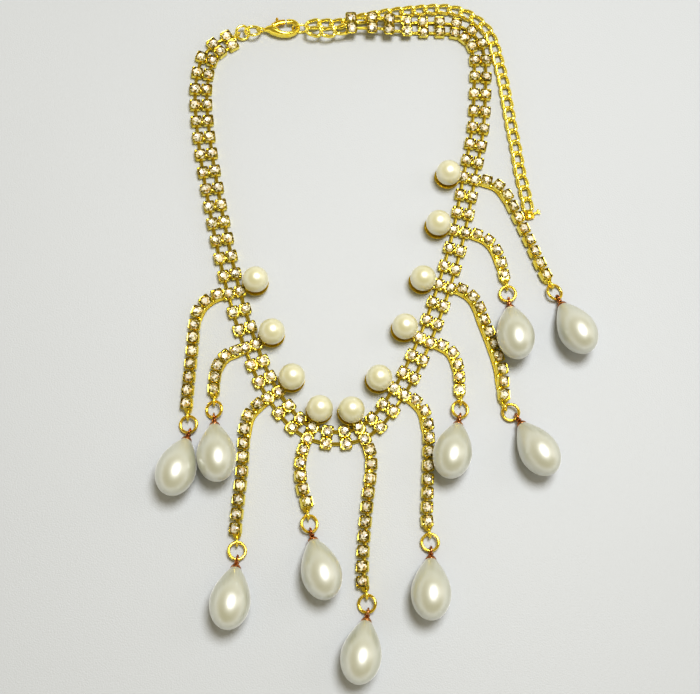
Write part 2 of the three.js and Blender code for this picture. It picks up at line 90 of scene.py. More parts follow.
SIDES = {  # of round shapes
    "bar": 8, "claw": 6, "eye": 20, "eye_wire": 8, "saucer": 40, "casting": 12, "pearl": 48, "drop": 48,
    "cap": 28, "ring": 40, "ring_wire": 12, "limb": 16, "rivet": 20, "link": 28, "link_wire": 8, "tab": 14,
    "stub": 10, "prong": 8,
}
ROWS = {"pearl": 28, "drop": 44}  # from one end to the other
CORNER_STEPS = 2
ROUTE_STEPS = 24  # between two points of a route
LIMB_STEPS = 5  # between two stations of a limb
POLE = 0.01  # the radius that a turned shape has at its closed ends
LINK_SQUARENESS = 3.0  # how soon a link's round ends give way to its straight sides
HEADING_REACH = 0.2  # how far to each side of a place its heading is taken
PAIR_REACH = 0.3  # the same on the collar, in pairs

# ---- Places --------------------------------------------------------------------------------------
# The collar's route: pair, x, y and the height of its underside.
COLLAR_ROUTE = [
    (1, -41.5, 83, 0), (2, -45.2, 80.6, 0), (3, -47.9, 77, 0), (5, -49.5, 67.4, 0),
    (8, -48.5, 52.5, 0), (11, -46.1, 36.9, 0), (14, -43.3, 21.9, 0), (17, -39.9, 6.6, 0),
    (20, -35.4, -8.4, 0), (23, -29.5, -21.8, 0), (26, -20, -32.1, 0), (29, -6.3, -32.3, 0),
    (32, 3.9, -21.1, 0), (35, 11.4, -6.7, 0), (38, 17.4, 8.7, 0), (41, 22.4, 24.9, 0),
    (44, 26, 40.9, 0), (47, 29.4, 56.6, 0), (50, 31, 72.9, 0), (51, 31.2, 78.4, 0),
    (52, 30.5, 83.4, 0), (53, 28, 86.8, 0), (54, 24.4, 88.6, 0), (56, 14.8, 88.9, 0),
    (57, 9.8, 88.7, 1), (58, 4.6, 88.7, RUN_HEIGHT), (59, -0.4, 89, RUN_HEIGHT),
    (60, -6.5, 88.8, RUN_HEIGHT),
]

# The strands. pair: where it crosses the collar. pearl, end, ring, drop: the headings of the pearl
# from there, of the eye from the last cup, of the jump ring and of the drop. ring_roll: how far the
# ring leans. cups: how many lie outside the collar. roll: how far the first and the last of them
# lean, with the left wall turned up where it is positive. edge: in place of CASTING's cups. route:
# from the first cup to the last.
STRANDS = [
    {"pair": 17, "pearl": 25.5, "end": -92, "ring": -84, "ring_roll": 10, "drop": -106,
     "cups": 10, "roll": (4, 24),
     "route": [(-44.4, 5.9), (-47.2, 4.2), (-49.3, 1.5), (-50.1, -2.1), (-50.6, -9.5), (-51.25, -17.4),
               (-51.7, -24.2)]},
    {"pair": 20, "pearl": 29.5, "end": -91, "ring": -90, "ring_roll": 25, "drop": -86,
     "cups": 5, "roll": (0, 8),
     "route": [(-39.3, -9.8), (-42.1, -11.1), (-44, -13.7), (-44.7, -16.9), (-44.95, -20.2)]},
    {"pair": 23, "pearl": 40.5, "end": -90, "ring": -89, "ring_roll": -8, "drop": -99,
     "cups": 10, "roll": (8, 20),
     "route": [(-33.5, -24.6), (-35.8, -27.3), (-36.8, -30.7), (-37, -34.3), (-37.4, -41.7), (-38.2, -49.3),
               (-38.95, -57)]},
    {"pair": 26, "pearl": 67, "end": -79, "ring": -80, "ring_roll": -20, "drop": -78,
     "cups": 5, "roll": (-6, -20),
     "route": [(-22, -36.5), (-22.8, -39.7), (-22.9, -43.2), (-22.5, -46.8), (-21.5, -50.5)]},
    {"pair": 29, "pearl": 117, "end": -81, "ring": -88, "ring_roll": 15, "drop": -102,
     "cups": 10, "roll": (10, 24),
     "route": [(-4.2, -36.8), (-3.8, -40), (-4.1, -43.6), (-4.9, -49.2), (-5.6, -54.8), (-6.4, -62.6),
               (-6.8, -70.8)]},
    {"pair": 32, "pearl": 151, "end": -79, "ring": -88, "ring_roll": 8, "drop": -95,
     "cups": 10, "roll": (-6, -8),
     "route": [(8.1, -23.6), (10.2, -26.2), (11, -29.5), (11.2, -32.8), (10.8, -39.9), (10.25, -47.8),
               (9.8, -55.6)]},
    {"pair": 35, "pearl": 153, "end": -88, "ring": -97, "ring_roll": -12, "drop": -106,
     "cups": 5, "roll": (0, 0),
     "route": [(16.1, -8.2), (18.6, -10.1), (19.9, -13.3), (20.3, -16.9), (20.2, -20.5)]},
    {"pair": 38, "pearl": 169, "end": -86, "ring": -41, "ring_roll": 12, "drop": -66.5,
     "cups": 10, "edge": 9, "roll": (-4, -16),
     "route": [(22.2, 7.7), (25, 5.6), (26.7, 2.5), (27.7, -1), (30, -8.2), (31.7, -15.3), (31.8, -22.1)]},
    {"pair": 41, "pearl": 169, "end": -81, "ring": -86, "ring_roll": 10, "drop": -88,
     "cups": 5, "edge": 4, "roll": (0, 0),
     "route": [(27.3, 24), (30.3, 22.4), (32.4, 19.5), (33.6, 15.9), (34.2, 12)]},
    {"pair": 44, "pearl": 177.5, "end": -60, "ring": -67, "ring_roll": -18, "drop": -71,
     "cups": 10, "roll": (-4, -18),
     "route": [(30.9, 40.1), (34, 38.8), (36.2, 36), (37.6, 32.6), (40.4, 25.6), (43, 18.6), (45.5, 12)]},
]

# The extension chain's two stretches, and how far from their ends the first and last link lie.
RUN_ROUTE = [(-8.5, 86.6), (-10.5, 86), (-13, 85.5), (-16, 85.5), (-18.9, 85.9)]
RUN_ENDS = (0.8, 1.6)
TAIL_ROUTE = [
    (-18.9, 88.7), (-16.5, 89.2), (-12.4, 89.3), (-9.5, 89.5), (-3.6, 91.2), (-0.5, 92), (4, 93),
    (8.5, 93.8), (13, 94.4), (17.5, 94.9), (22, 95), (26.5, 94.1), (30.4, 91.9), (33.8, 88.3), (35.5, 84),
    (36.5, 79), (37.6, 72.5), (38.4, 65), (39.2, 57.5), (40.1, 50), (40.8, 43), (41.9, 36), (42.4, 31.6),
]
TAIL_ENDS = (1.6, 1.6)

# ---- Sections ------------------------------------------------------------------------------------
# The wall of a cup, up its outside, over its rim and down to the seat of the stone: how far in from
# the side, the radius of the corners, and the height.
CUP_WALL = [
    (0.25, 0.4, 0.0), (0.06, 0.42, 0.15), (0.0, 0.4, 0.45), (0.02, 0.4, CUP["wall_top"] - 0.06),
    (0.06, 0.4, CUP["wall_top"]), (0.13, 0.4, CUP["wall_top"] - 0.03), (0.16, 0.5, CUP["wall_top"] - 0.5),
]
PLAIN_STRIPS = 3  # of that wall, from the bottom, that don't have the rim's painted shade
# A claw from its root to its tip over the stone: how far in from the cup's corner, the height, half
# the breadth and half the thickness.
CLAW_STATIONS = [
    (0.32, 1.1, 0.34, 0.16), (0.32, 1.6, 0.27, 0.15), (0.42, 1.95, 0.22, 0.14), (0.6, 2.12, 0.17, 0.11),
    (0.78, 2.11, 0.1, 0.08),
]
CLAW_UP = Vector((0.35, 0, 0.94))  # in the claw's own plane, and never along the claw
# A stone's rings of corners: the radius and the height of each.
GIRDLE, CROWN, TABLE = (1.32, 1.5), (1.0, 1.9), (0.64, 2.08)
TABLE_MIDDLE = 2.0  # the height of the middle of its table
FACETS = 8
# The saucer under a round pearl, over its underside and back to its middle: radius and height.
SAUCER = [
    (POLE, 0.0), (1.7, 0.0), (2.6, 0.22), (3.2, 0.62), (SAUCER_RADIUS, 1.1),
    (SAUCER_RADIUS + 0.02, 1.22), (SAUCER_RADIUS - 0.12, 1.27), (SAUCER_RADIUS - 0.28, 1.15),
    (2.7, 0.72), (1.7, 0.45), (POLE, 0.4),
]
# The strip folded round the last cup of a strand: x, half its breadth and its height.
CONNECTOR = [(-0.9, 1.05, 1.75), (0.35, 1.05, 1.75), (1.05, 0.62, 1.4)]
CONNECTOR_SHEET, CONNECTOR_SLIT = 0.22, 0.1  # its thickness, and half the slit along its top
# The bell cap of a drop: radius, and distance from the eye.
CAP = [
    (POLE, 0.7), (0.55, 0.72), (0.72, 0.85), (0.7, 1.05), (0.56, 1.25), (0.62, 1.42), (0.9, 1.68),
    (1.2, 2.0), (1.36, 2.35), (1.43, 2.6), (1.38, 2.68), (1.25, 2.62), (POLE, 2.55),
]
# The clasp's limbs, with its eye at the origin: x, y, half the breadth and half the height.
CLASP_BODY = [
    (0.75, 0.0, 0.3, 0.4), (1.2, 0.0, 0.55, 0.7), (2.2, 0.12, 1.05, 1.1), (3.3, -0.1, 1.45, 1.4),
    (4.3, -0.75, 1.3, 1.45), (5.5, -1.5, 0.95, 1.4), (7.0, -1.82, 0.8, 1.3), (8.6, -1.68, 0.78, 1.05),
    (9.9, -1.0, 0.72, 0.85), (10.65, 0.0, 0.7, 0.7), (10.5, 1.3, 0.74, 0.65), (9.6, 2.2, 0.8, 0.6),
    (8.5, 2.4, 0.84, 0.55), (7.65, 2.4, 0.8, 0.5),
]
CLASP_LEVER = [
    (3.0, 0.7, 0.35, 0.4), (3.7, 1.2, 0.78, 0.5), (4.7, 1.85, 0.85, 0.55), (5.9, 2.2, 0.88, 0.55),
    (6.7, 2.3, 0.86, 0.52), (7.2, 2.35, 0.8, 0.48),
]
CLASP_NUB = [(4.7, 1.9, 0.36, 0.4), (4.85, 2.7, 0.38, 0.44), (4.9, 3.3, 0.46, 0.46), (4.9, 3.7, 0.3, 0.36)]
# The clasp's rivet: radius and height.
RIVET = [(POLE, -1.5), (0.42, -1.48), (0.5, -1.4), (0.5, 1.4), (0.42, 1.48), (POLE, 1.5)]
RIVET_PLACE = (3.6, 0.9, 0)
# The tab folded over the chain's free end, and the stub of wire in it. place: from the route's last
# point. stations: x, half the breadth and half the height.
TAB = {
    "place": (0, -0.45, 0.6), "heading": -75,
    "stations": [(0, 0.9, 0.42), (0.3, 1.3, 0.6), (1.9, 1.35, 0.6), (2.35, 1.0, 0.42)],
}
STUB = {
    "place": (0.6, -1.6, 0.62), "heading": 26,
    "stations": [(-0.4, 0.35, 0.35), (1.0, 0.4, 0.4), (2.2, 0.36, 0.36)],
}
PRONGS = {"along": 2.1, "headings": (70, 26, -20), "tip": (1.05, 0, 0.1), "radii": [0.26, 0.17]}


# ---- Routes --------------------------------------------------------------------------------------
def direction(degrees):
    return Vector((math.cos(math.radians(degrees)), math.sin(math.radians(degrees)), 0.0))


def away(point, degrees, distance):
    return point + distance * direction(degrees)


def above(point, height):
    return point + Vector((0, 0, height))


def degrees_of(vector):
    return math.degrees(math.atan2(vector.y, vector.x))


def hermite(start, stop, leave, arrive, t):
    """A cubic from start to stop, where t goes from 0 to 1, with its rates at both ends."""
    cubic = 2 * (start - stop) + leave + arrive
    square = 3 * (stop - start) - 2 * leave - arrive
    return ((cubic * t + square) * t + leave) * t + start


def collar_point(pair):
    """The middle of the collar at a pair of cups: a cubic through the rows of its route."""
    rows = COLLAR_ROUTE
    row = 0
    while row < len(rows) - 2 and rows[row + 1][0] < pair:
        row += 1

    def slope(index, axis):
        before, after = rows[max(index - 1, 0)], rows[min(index + 1, len(rows) - 1)]
        return (after[axis] - before[axis]) / (after[0] - before[0])

    span = rows[row + 1][0] - rows[row][0]
    t = (pair - rows[row][0]) / span
    place = []
    for axis in (1, 2, 3):
        leave, arrive = slope(row, axis) * span, slope(row + 1, axis) * span
        place.append(hermite(rows[row][axis], rows[row + 1][axis], leave, arrive, t))
    return Vector((place[0], place[1], max(0.0, place[2])))


class Path:
    """A smooth level curve through points, measured along its length."""

    def __init__(self, points):
        knots = [Vector((x, y, 0.0)) for x, y in points]
        knots = [2 * knots[0] - knots[1]] + knots + [2 * knots[-1] - knots[-2]]
        dense, self.marks = [], []
        for k in range(1, len(knots) - 2):
            a, b, c, d = knots[k - 1 : k + 3]
            before, here, after = (math.sqrt((q - p).length) for p, q in ((a, b), (b, c), (c, d)))
            leave = ((b - a) / before - (c - a) / (before + here) + (c - b) / here) * here
            arrive = ((c - b) / here - (d - b) / (here + after) + (d - c) / after) * here
            self.marks.append(len(dense))
            dense += [hermite(b, c, leave, arrive, step / ROUTE_STEPS) for step in range(ROUTE_STEPS)]
        self.marks.append(len(dense))
        dense.append(knots[-2].copy())
        self.points = np.array(dense)
        steps = np.linalg.norm(np.diff(self.points, axis=0), axis=1)
        self.along = np.concatenate([[0.0], np.cumsum(steps)])
        self.length = float(self.along[-1])

    def mark(self, index):
        """How far along the curve one of its points lies."""
        return float(self.along[self.marks[index]])

    def at(self, distance):
        return Vector([float(np.interp(distance, self.along, self.points[:, k])) for k in range(3)])

    def heading(self, distance):
        low, high = max(0.0, distance - HEADING_REACH), min(self.length, distance + HEADING_REACH)
        return degrees_of(self.at(high) - self.at(low))


# ---- Meshes --------------------------------------------------------------------------------------
def turns(count):
    """The angles, in radians, of the corners of a round shape."""
    return [2 * math.pi * k / count for k in range(count)]


def loft(rings, closed=False):
    """Points and faces of a skin over rings of equal counts, each ring a list of points."""
    count = len(rings[0])
    points = [Vector(point) for ring in rings for point in ring]
    faces = []
    for r in range(len(rings) if closed else len(rings) - 1):
        low, high = r * count, (r + 1) % len(rings) * count
        for k in range(count):
            after = (k + 1) % count
            faces.append((low + k, low + after, high + after, high + k))
    if not closed:
        faces.append(tuple(reversed(range(count))))
        faces.append(tuple(range((len(rings) - 1) * count, len(rings) * count)))
    return points, faces


def lathe(profile, sides):
    """A skin turned about +Z, from rows of radius and height."""
    return loft([[(r * math.cos(t), r * math.sin(t), z) for t in turns(sides)] for r, z in profile])


def tube(path, sizes, sides, closed=False, up=Vector((0, 0, 1))):
    """A wire along points. Its size is a radius, or half its breadth and half its height. sizes is
    one size, or a list with a size for each point. up is never along the wire."""
    count = len(path)
    rings = []
    for k, point in enumerate(path):
        before = path[k - 1] if (k or closed) else path[0]
        after = path[(k + 1) % count] if (k < count - 1 or closed) else path[-1]
        tangent = (after - before).normalized()
        side = up.cross(tangent).normalized()
        top = tangent.cross(side)
        size = sizes[k] if isinstance(sizes, list) else sizes
        wide, high = size if isinstance(size, tuple) else (size, size)
        rings.append([point + wide * math.cos(t) * side + high * math.sin(t) * top for t in turns(sides)])
    return loft(rings, closed=closed)


def rod(stations, sides):
    """A bar along +X. Each station is x, half its breadth and half its height."""
    path = [Vector((x, 0, 0)) for x, _, _ in stations]
    return tube(path, [(wide, high) for _, wide, high in stations], sides)


def rounded_square(half, corner, z):
    """A ring of points round a square with round corners."""
    ring = []
    for quarter in range(4):
        middle = math.radians(45 + 90 * quarter)
        centre = Vector((math.cos(middle), math.sin(middle), 0)) * math.sqrt(2) * (half - corner)
        for k in range(CORNER_STEPS + 1):
            turn = math.radians(90 * quarter + 90 * k / CORNER_STEPS)
            ring.append(centre + Vector((corner * math.cos(turn), corner * math.sin(turn), z)))
    return ring


def placing(point, heading=0.0, pitch=0.0, roll=0.0):
    """The matrix that lays a shape at a point: pitch lifts its +X end, roll turns it about +X."""
    turn = Matrix.Rotation(math.radians(heading), 4, "Z")
    turn = turn @ Matrix.Rotation(-math.radians(pitch), 4, "Y")
    turn = turn @ Matrix.Rotation(math.radians(roll), 4, "X")
    return Matrix.Translation(point) @ turn


class Skin:
    """Collects shapes, in millimetres, into the mesh of one piece."""

    def __init__(self):
        self.points, self.faces, self.tints = [], [], []

    def add(self, shape, matrix=None, tint=(1.0, 1.0, 1.0)):
        """Adds a shape. tint is one colour, or a list with a colour for each face."""
        start = len(self.points)
        points, faces = shape
        self.points += [matrix @ p for p in points] if matrix else points
        self.faces += [tuple(start + k for k in face) for face in faces]
        self.tints += tint if isinstance(tint, list) else [tint] * len(faces)

    def make(self, name, material, slot, body=BODY, replaces=(), sharp=35.0):
        """Makes the piece. Edges that bend by more than sharp degrees stay sharp."""
        mesh = bpy.data.meshes.new(name)
        mesh.from_pydata([(p + SHIFT) * MM for p in self.points], [], self.faces)
        mesh.materials.append(material)
        mesh.shade_smooth()
        mesh.set_sharp_from_angle(angle=math.radians(sharp))
        tint = mesh.color_attributes.new("tint", "FLOAT_COLOR", "CORNER")
        colours = [(*c, 1.0) for c, face in zip(self.tints, self.faces) for _ in face]
        tint.data.foreach_set("color", np.array(colours, np.float32).ravel())
        mesh.update()
        piece = bpy.data.objects.new(name, mesh)
        bpy.context.scene.collection.objects.link(piece)
        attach(piece, body)
        if replaces:
            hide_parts(*replaces)


# ---- Materials -----------------------------------------------------------------------------------
NOISE_LOW, NOISE_HIGH = 0.3, 0.7  # noise's usual range
# Waves a metre.
METAL_WAVES = {"tone": 900.0, "polish": 2600.0, "surface": 1300.0}
CRYSTAL_WAVES = 5000.0
PEARL_WAVES = {"tone": 120.0, "polish": 300.0}
# The lowest and the highest roughness of a surface.
GOLD_ROUGH, CAST_ROUGH = (0.08, 0.2), (0.1, 0.22)
CRYSTAL_ROUGH = (0.06, 0.14)
PEARL_ROUGH = (0.42, 0.45)
PLATED_BUMP, CAST_BUMP = 0.00002, 0.00003
# The tones of each surface, from the low to the high of its noise.
GOLD_TONES = [(1.0, 0.79, 0.09), (1.0, 0.84, 0.16), (1.0, 0.89, 0.27)]
CAST_TONES = [(1.0, 0.76, 0.07), (1.0, 0.81, 0.12), (1.0, 0.86, 0.2)]
ROSE_TONES = [(0.2, 0.06, 0.015), (0.4, 0.15, 0.05), (0.75, 0.42, 0.2)]
DROP_TONES = [(0.35, 0.36, 0.24), (0.38, 0.39, 0.28), (0.41, 0.42, 0.32)]
ROUND_TONES = [(0.56, 0.53, 0.25), (0.6, 0.57, 0.3), (0.63, 0.6, 0.36)]


def set_stops(node, stops):
    ramp = node.color_ramp
    while len(ramp.elements) < len(stops):
        ramp.elements.new(0.5)
    for element, (at, colour) in zip(ramp.elements, stops):
        element.position = at
        element.color = (*colour, 1.0)


class Nodes:
    """A short way to write a material's nodes."""

    def __init__(self, name):
        self.material = bpy.data.materials.new(name)
        self.material.use_nodes = True
        self.tree = self.material.node_tree
        self.shader = self.tree.nodes["Principled BSDF"]
        self.place = self.add("ShaderNodeTexCoord").outputs["Object"]

    def add(self, kind, **settings):
        node = self.tree.nodes.new(kind)
        for key, value in settings.items():
            setattr(node, key, value)
        return node

    def link(self, output, socket):
        self.tree.links.new(output, socket)

    def set(self, **values):
        for name, value in values.items():
            self.shader.inputs[name.replace("_", " ")].default_value = value

    def noise(self, waves, detail=3.0):
        """Noise with a number of waves a metre."""
        node = self.add("ShaderNodeTexNoise")
        node.inputs["Scale"].default_value = waves
        node.inputs["Detail"].default_value = detail
        self.link(self.place, node.inputs["Vector"])
        return node.outputs["Fac"]

    def tones(self, value, colours):
        """Colours spread evenly over noise's usual range."""
        node = self.add("ShaderNodeValToRGB")
        step = (NOISE_HIGH - NOISE_LOW) / (len(colours) - 1)
        set_stops(node, [(NOISE_LOW + k * step, colour) for k, colour in enumerate(colours)])
        self.link(value, node.inputs["Fac"])
        return node.outputs["Color"]

    def tinted(self, colour):
        """A colour multiplied by the tint that each face carries."""
        node = self.add("ShaderNodeMix", data_type="RGBA", blend_type="MULTIPLY")
        node.inputs["Factor"].default_value = 1.0
        self.link(colour, node.inputs["A"])
        self.link(self.tint(), node.inputs["B"])
        return node.outputs["Result"]

    def tint(self):
        return self.add("ShaderNodeVertexColor", layer_name="tint").outputs["Color"]

    def between(self, value, low, high):
        """A number that runs from low to high as the value runs over noise's usual range."""
        node = self.add("ShaderNodeMapRange")
        node.inputs["From Min"].default_value = NOISE_LOW
        node.inputs["From Max"].default_value = NOISE_HIGH
        node.inputs["To Min"].default_value = low
        node.inputs["To Max"].default_value = high
        self.link(value, node.inputs["Value"])
        return node.outputs["Result"]

    def bump(self, value, height):
        """Raises the surface by up to a height in metres."""
        node = self.add("ShaderNodeBump")
        node.inputs["Strength"].default_value = 1.0
        node.inputs["Distance"].default_value = height
        self.link(value, node.inputs["Height"])
        self.link(node.outputs["Normal"], self.shader.inputs["Normal"])


def metal(name, tones, rough, bump=PLATED_BUMP):
    """Plated metal: its tone and polish vary a little, and its surface is faintly uneven."""
    nodes = Nodes(name)
    nodes.set(Metallic=1.0)
    cloud = nodes.tones(nodes.noise(METAL_WAVES["tone"]), tones)
    nodes.link(nodes.tinted(cloud), nodes.shader.inputs["Base Color"])
    polish = nodes.between(nodes.noise(METAL_WAVES["polish"]), *rough)
    nodes.link(polish, nodes.shader.inputs["Roughness"])
    nodes.bump(nodes.noise(METAL_WAVES["surface"], detail=2.0), bump)
    return nodes.material


def crystal():
    """Foil-backed cut glass under a clear, glossy face: each facet's tone is a painted highlight or a
    painted reflection.
    """
    nodes = Nodes("crystal")
    nodes.set(Metallic=0.12, Coat_Weight=0.6, Coat_Roughness=0.03)
    nodes.link(nodes.tint(), nodes.shader.inputs["Base Color"])
    polish = nodes.between(nodes.noise(CRYSTAL_WAVES), *CRYSTAL_ROUGH)
    nodes.link(polish, nodes.shader.inputs["Roughness"])
    return nodes.material


def pearl(name, tones):
    """Pearl lustre: a satin body under a skin that mirrors its surroundings softly and without tint."""
    nodes = Nodes(name)
    nodes.set(IOR=4.0, Sheen_Weight=0.7, Sheen_Roughness=0.35)
    nodes.set(Coat_Weight=0.6, Coat_Roughness=0.25, Coat_IOR=1.8)
    cloud = nodes.tones(nodes.noise(PEARL_WAVES["tone"], detail=2.0), tones)
    nodes.link(cloud, nodes.shader.inputs["Base Color"])
    polish = nodes.between(nodes.noise(PEARL_WAVES["polish"]), *PEARL_ROUGH)
    nodes.link(polish, nodes.shader.inputs["Roughness"])
    return nodes.material


GOLD = metal("gold", GOLD_TONES, GOLD_ROUGH)
CAST_GOLD = metal("cast_gold", CAST_TONES, CAST_ROUGH, CAST_BUMP)
ROSE = metal("rose_gold", ROSE_TONES, CAST_ROUGH)
CRYSTAL = crystal()
DROP_PEARL = pearl("drop_pearl", DROP_TONES)
ROUND_PEARL = pearl("round_pearl", ROUND_TONES)

# ---- Tints ---------------------------------------------------------------------------------------
# They multiply the tones of the metal. Those of the claws, the rims and the links are painted shade.
PLAIN_TINT = (1.0, 1.0, 1.0)
CLAW_SHADE_TINT = (0.45, 0.43, 0.25)  # painted shade: the claws darkened to olive, like the shade and dark reflections at the corners of each cup
RIM_SHADE_TINT = (0.62, 0.58, 0.4)  # painted shade over the rims and the insides of the cups, which would otherwise catch the lamp too brightly
LINK_SHADE_TINT = (0.7, 0.66, 0.45)  # painted shade on the links and the solder between cups, which lie in shade between them
RING_TINT = (0.85, 0.74, 0.52)  # the drops' jump rings
LEVER_TINT = (0.75, 0.58, 0.35)  # a darker, browner lever
TAB_TINT = (1.0, 0.87, 0.62)  # a redder tab at the chain's end

# Painted highlights and reflections: the facets of a stone take their tones by chance, each as often as its
# share says. The pale tones are painted highlights; the dark, gold and brown ones are painted reflections
# of the dark surroundings and of the gold cup.
TABLE_REFLECTION_TONES = [
    (1.0, 0.95, 0.86), (1.0, 0.93, 0.78), (1.0, 0.97, 0.93), (1.0, 0.8, 0.58), (0.45, 0.4, 0.25),
]
TABLE_SHARES = [6, 5, 4, 2, 3]
CROWN_REFLECTION_TONES = [
    (1.0, 0.93, 0.66), (0.5, 0.42, 0.1), (0.25, 0.19, 0.03), (0.1, 0.07, 0.01), (0.75, 0.48, 0.16),
]
CROWN_SHARES = [7, 4, 4, 4, 3]
DIMMEST_REFLECTION = 0.72  # what those painted highlights and reflections are multiplied by in the dimmest stone
STONE_TILT = 5.0  # how far a stone may lean in its cup
chance = random.Random(11)  # seeded, so that every run draws the same


# ---- Cups and stones -----------------------------------------------------------------------------
def cup_shell():
    """The square wall of a cup, open at the top down to the seat of its stone, and its tints: painted shade
    over the rim and down the inside.
    """
    half = CUP["width"] / 2
    rings = [rounded_square(half - inset, corner, height) for inset, corner, height in CUP_WALL]
    points, faces = loft(rings)
    plain = PLAIN_STRIPS * len(rings[0])
    # painted shade on the rim and the inside of the cup
    return points, faces, [PLAIN_TINT] * plain + [RIM_SHADE_TINT] * (len(faces) - plain)


def claw():
    """One claw on the +X side: it rises at a corner of the cup and curls over the stone."""
    corner = CUP["width"] / 2 * math.sqrt(2)
    path = [Vector((corner - inset, 0, height)) for inset, height, _, _ in CLAW_STATIONS]
    sizes = [(wide, thick) for _, _, wide, thick in CLAW_STATIONS]
    return tube(path, sizes, SIDES["claw"], up=CLAW_UP)


def stone():
    """A round cut stone: its points, the faces of its table and those of its crown and girdle. The
    table is broken up as by the cuts below it, so that its facets can carry different painted highlights
    and reflections."""
    points = [Vector((0, 0, TABLE_MIDDLE))]

    def ring(radius, height, count, offset):
        start = len(points)
        for k in range(count):
            turn = 2 * math.pi * (k + offset) / count
            points.append(Vector((radius * math.cos(turn), radius * math.sin(turn), height)))
        return start

    inner = ring(*TABLE, FACETS, 0.0)
    middle = ring(*CROWN, FACETS, 0.5)
    outer = ring(*GIRDLE, 2 * FACETS, 0.0)
    table_faces, crown_faces = [], []
    for k in range(FACETS):
        after = (k + 1) % FACETS
        table_faces.append((0, inner + k, inner + after))
        crown_faces.append((inner + k, middle + k, inner + after))
        crown_faces.append((inner + after, middle + k, middle + after))
        left, right = outer + 2 * k, outer + 2 * k + 1
        beyond = outer + (2 * k + 2) % (2 * FACETS)
        crown_faces.append((middle + k, left, right))
        crown_faces.append((middle + k, right, beyond))
        crown_faces.append((middle + k, beyond, middle + after))
    crown_faces.append(tuple(reversed(range(outer, outer + 2 * FACETS))))
    return points, table_faces, crown_faces


CUP_SHELL, CLAW, STONE = cup_shell(), claw(), stone()


def add_stone(stones, matrix):
    """One stone in its cup, turned, tilted and given painted highlights and reflections by chance."""
    tilt = Matrix.Rotation(math.radians(chance.uniform(-STONE_TILT, STONE_TILT)), 4, "X")
    tilt = tilt @ Matrix.Rotation(math.radians(chance.uniform(-STONE_TILT, STONE_TILT)), 4, "Y")
    turn = Matrix.Rotation(chance.uniform(0, math.tau), 4, "Z")
    points, table_faces, crown_faces = STONE
    tones = chance.choices(TABLE_REFLECTION_TONES, TABLE_SHARES, k=len(table_faces))
    tones += chance.choices(CROWN_REFLECTION_TONES, CROWN_SHARES, k=len(crown_faces))
    reflection_strength = chance.uniform(DIMMEST_REFLECTION, 1.0)
    tones = [tuple(reflection_strength * part for part in tone) for tone in tones]
    stones.add((points, table_faces + crown_faces), matrix @ tilt @ turn, tones)


def add_cup(gold, stones, point, heading, roll):
    """One stone in its cup, leaning about its chain by roll and kept off the ground."""
    lift = FLARE * CUP["width"] / 2 * abs(math.sin(math.radians(roll)))
    matrix = placing(above(point, lift), heading, 0.0, roll) @ Matrix.Diagonal((FLARE, FLARE, 1, 1))
    points, faces, tints = CUP_SHELL
    gold.add((points, faces), matrix, tints)
    for quarter in range(4):
        # the claws carry painted shade
        gold.add(CLAW, matrix @ Matrix.Rotation(math.radians(45 + 90 * quarter), 4, "Z"), CLAW_SHADE_TINT)
    add_stone(stones, matrix)


def add_bar(gold, start, stop, width, low, high):
    """A flat bar with soft edges between two points, darkened with the links' painted shade."""
    middle, half = (low + high) / 2, (high - low) / 2
    path = [Vector((x, 0, middle)) for x in (0.0, (stop - start).length)]
    bar = tube(path, (width / 2, half), SIDES["bar"])
    gold.add(bar, placing(start, degrees_of(stop - start)), LINK_SHADE_TINT)


# ---- The collar ----------------------------------------------------------------------------------
def collar_heading(pair):
    after, before = min(pair + PAIR_REACH, PAIRS), max(pair - PAIR_REACH, 1)
    return degrees_of(collar_point(after) - collar_point(before))


def collar_lean(pair):
    return -min(1.0, max(0.0, (pair - LAST_PAIRS["after"]) / LAST_PAIRS["over"])) * LAST_PAIRS["lean"]


def eye_shape():
    """A wire eye that stands in the plane of X and Z."""
    radius = EYE["radius"]
    path = [Vector((radius * math.cos(t), 0, radius * math.sin(t))) for t in turns(SIDES["eye"])]
    return tube(path, EYE["wire"], SIDES["eye_wire"], closed=True, up=Vector((0, 1, 0)))


def build_collar():
    gold, stones = Skin(), Skin()
    pitch = CUP["row_pitch"]
    for pair in range(1, PAIRS + 1):
        centre, heading = collar_point(pair), collar_heading(pair)
        side = direction(heading + 90)
        for row in (-0.5, 0.5):
            point = centre + row * pitch * side
            add_cup(gold, stones, point, heading, collar_lean(pair))
            if pair < PAIRS:
                across = direction(collar_heading(pair + 1) + 90)
                add_bar(gold, point, collar_point(pair + 1) + row * pitch * across, **WIRE_LINK)
        reach = SOLDER_REACH * pitch * side
        add_bar(gold, centre - reach, centre + reach, **SOLDER)
    first = collar_point(1)
    lug = away(first, LUG["degrees"], LUG["reach"])
    add_bar(gold, first, away(first, LUG["degrees"], LUG["reach"] - EYE["radius"]), **LUG_BAR)
    gold.add(eye_shape(), placing(above(lug, LINK_HEIGHT), LUG["degrees"]))
    gold.make("collar_cups", GOLD, "gold", replaces=["collar"])
    stones.make("collar_stones", CRYSTAL, "gold", sharp=5.0)


# ---- The strands ---------------------------------------------------------------------------------
def strand_layout(row):
    """Where a strand's parts lie. crossing and spots, where its cups are, count along its path."""
    crossing = collar_point(row["pair"])
    crossing.z = 0.0
    dish = away(crossing, row["pearl"], PEARL["reach"])
    head = [dish, dish.lerp(crossing, 0.5), crossing]
    route = [Vector((x, y, 0.0)) for x, y in row["route"]]
    end = away(route[-1], row["end"], CUP["width"] / 2)
    eye = away(route[-1], row["end"], EYE["reach"])
    path = Path([(p.x, p.y) for p in [*head, *route, end]])
    first, last = path.mark(len(head)), path.mark(len(head) + len(route) - 1)
    gaps = row["cups"] - 1
    return {
        "dish": dish,
        "path": path,
        "crossing": path.mark(len(head) - 1),
        "spots": [first + (last - first) * k / gaps for k in range(row["cups"])],
        "cup_pitch": (last - first) / gaps,
        "end": end,
        "eye": eye,
        "drop_eye": away(eye, row["ring"], 2 * RING["radius"]),
    }


